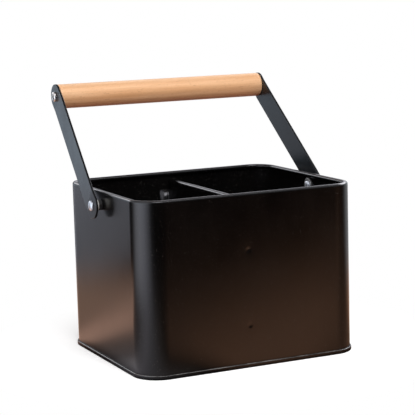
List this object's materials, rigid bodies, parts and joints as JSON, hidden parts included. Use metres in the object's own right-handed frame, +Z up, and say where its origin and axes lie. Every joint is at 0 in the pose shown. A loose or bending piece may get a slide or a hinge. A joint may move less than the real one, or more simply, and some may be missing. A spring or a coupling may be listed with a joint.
{
  "type": "utensil basket",
  "caption": "Rounded rectangular sheet-metal caddy with a central divider and a swinging bail of flat straps with a wooden grip.",
  "frame": {"origin": "middle of the base, in the plane that the tin stands on", "axes": "+Z up, +X to the right of a person who faces the front wall, +Y from the front wall to the back wall; the bail is stored leaning back"},
  "size_m": [0.2104, 0.1831, 0.219],
  "materials": {
    "tin_coat": "satin",
    "strap_coat": "satin",
    "grip_wood": "oiled",
    "rivet_steel": "bright",
    "screw_steel": "bright",
    "backing_steel": "plain",
    "spacer_black": "matte",
    "washer_grey": "matte"
  },
  "bodies": {
    "basket": {"tin_wall": "tin_coat", "base_pan": "tin_coat", "divider": "tin_coat", "pivot_rivets": "rivet_steel", "pivot_spacer_left": "spacer_black", "pivot_washer_left": "washer_grey", "backing_washer_left": "backing_steel", "pivot_spacer_right": "spacer_black", "pivot_washer_right": "washer_grey", "backing_washer_right": "backing_steel"},
    "handle": {"strap_left": "strap_coat", "strap_right": "strap_coat", "grip": "grip_wood", "grip_screws": "screw_steel"}
  },
  "joints": [
    {"name": "handle_swing", "type": "hinge", "parent": "basket", "child": "handle", "pos_m": [0, 0, 0.1277], "axis": [1, 0, 0], "range_deg": [-83.5, 180.5]}
  ]
}
